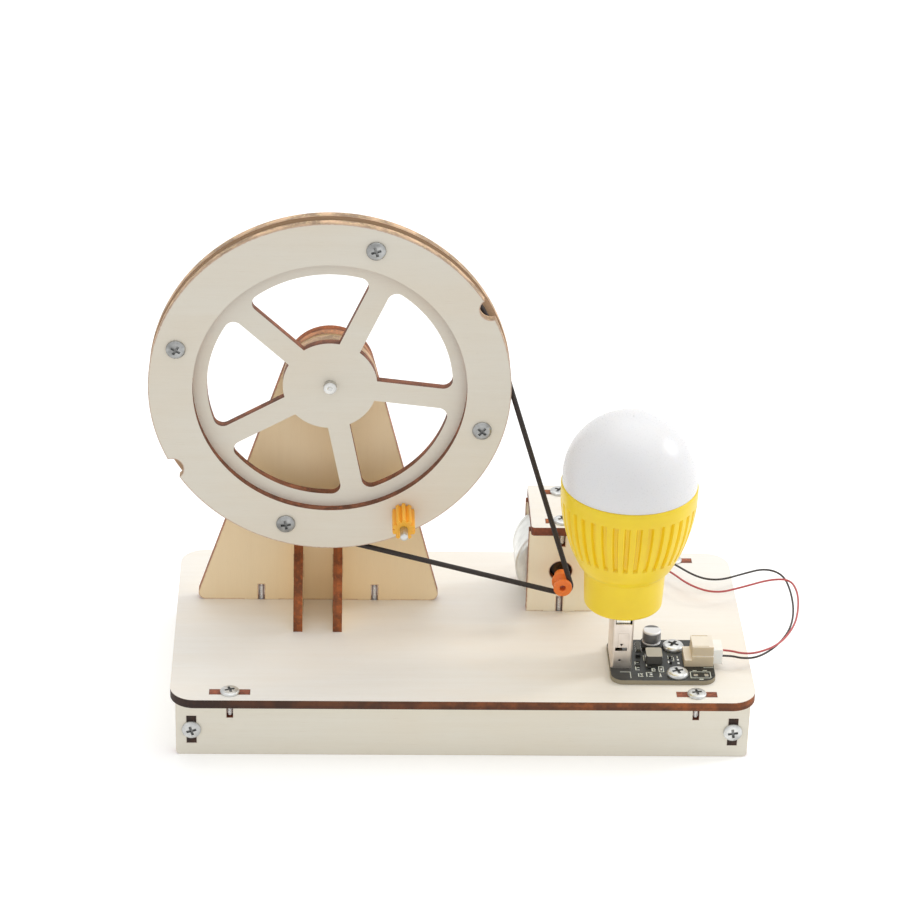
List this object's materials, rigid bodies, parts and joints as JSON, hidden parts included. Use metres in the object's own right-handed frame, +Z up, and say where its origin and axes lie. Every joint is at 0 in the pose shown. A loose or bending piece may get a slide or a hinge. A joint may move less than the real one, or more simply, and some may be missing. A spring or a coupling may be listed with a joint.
{
  "type": "generator model",
  "caption": "Hand-crank generator model: a plywood belt wheel turns a small motor, which lights a plug-in lamp through a converter board.",
  "frame": {"origin": "under the middle of the model's box without its wires, on the surface that it stands on", "axes": "+X to the right, from the wheel to the lamp; +Y to the back, along the axle; +Z up"},
  "size_m": [0.2141, 0.095, 0.1659],
  "materials": {
    "plywood": "pale laser-cut plywood with a fine grain and scorched brown edges",
    "zinc_screw": "zinc-plated cross-recess screw",
    "bright_steel": "plain bright steel",
    "nickel_can": "nickel-plated sheet steel",
    "aluminium_can": "drawn aluminium can with a dark half-moon on top",
    "orange_plastic": "moulded orange plastic",
    "black_rubber": "matt black rubber",
    "board_black": "black solder mask with white lines and a tan cut edge",
    "black_plastic": "moulded black plastic",
    "beige_plastic": "moulded beige plastic",
    "white_plastic": "moulded white plastic",
    "lamp_yellow": "moulded yellow plastic with fine ribs",
    "lamp_milky": "milky diffusing plastic",
    "brass_bearing": "brass or copper metal",
    "magnet_grey": "sintered ferrite",
    "wire_red": "soft red insulation",
    "wire_black": "soft black insulation"
  },
  "bodies": {
    "stand": {"base_back_panel": "plywood", "base_front_panel": "plywood", "base_left_panel": "plywood", "base_right_panel": "plywood", "base_side_screws": "zinc_screw", "base_top_plate": "plywood", "base_top_screws": "zinc_screw", "board_screws": "zinc_screw", "board_small_parts": "black_plastic", "capacitor_base": "black_plastic", "capacitor_can": "aluminium_can", "circuit_board": "board_black", "connector_pins": "brass_bearing", "converter_chip": "black_plastic", "drive_belt": "black_rubber", "gusset_left": "plywood", "gusset_right": "plywood", "inductor": "black_plastic", "motor_bearings": "brass_bearing", "motor_brushes": "brass_bearing", "motor_can": "nickel_can", "motor_end_cap": "black_plastic", "motor_magnets": "magnet_grey", "motor_terminals": "brass_bearing", "stand_back_plate": "plywood", "stand_base_screws": "zinc_screw", "stand_front_plate": "plywood", "stand_top_plate": "plywood", "stand_top_screws": "zinc_screw", "tower_bearing_disc": "plywood", "tower_plate": "plywood", "tower_screws": "zinc_screw", "usb_socket_contacts": "brass_bearing", "usb_socket_insulator": "white_plastic", "usb_socket_shell": "nickel_can", "wire_black": "wire_black", "wire_connector": "beige_plastic", "wire_plug": "white_plastic", "wire_red": "wire_red"},
    "wheel": {"wheel_front_ring": "plywood", "wheel_spoke_disc": "plywood", "wheel_back_ring": "plywood", "wheel_hub_disc": "plywood", "wheel_axle": "bright_steel", "axle_collar": "bright_steel", "thrust_washer": "bright_steel", "wheel_screws": "zinc_screw", "crank_pin": "bright_steel"},
    "pinion": {"crank_pinion": "orange_plastic"},
    "rotor": {"motor_shaft": "bright_steel", "armature_core": "bright_steel", "armature_windings": "brass_bearing", "commutator": "brass_bearing", "drive_pulley": "orange_plastic"},
    "lamp": {"lamp_housing": "lamp_yellow", "lamp_dome": "lamp_milky", "lamp_board": "white_plastic", "lamp_diodes": "lamp_milky", "lamp_plug_shell": "nickel_can", "lamp_plug_tongue": "white_plastic"}
  },
  "joints": [
    {"name": "wheel_spin", "type": "hinge", "parent": "stand", "child": "wheel", "pos_m": [-0.03957, 0.0046, 0.1084], "axis": [0, 1, 0], "continuous": true},
    {"name": "pinion_spin", "type": "hinge", "parent": "wheel", "child": "pinion", "pos_m": [-0.01557, 0.0046, 0.0642], "axis": [0, 1, 0], "continuous": true},
    {"name": "rotor_spin", "type": "hinge", "parent": "stand", "child": "rotor", "pos_m": [0.03703, 0.0046, 0.0378], "axis": [0, 1, 0], "continuous": true},
    {"name": "lamp_pull", "type": "slide", "parent": "stand", "child": "lamp", "axis": [0, 0, 1], "range_m": [-0.0024, 0.009]}
  ],
  "couplings": [
    {"joint": "rotor_spin", "follows": "wheel_spin", "ratio": 19.873}
  ]
}
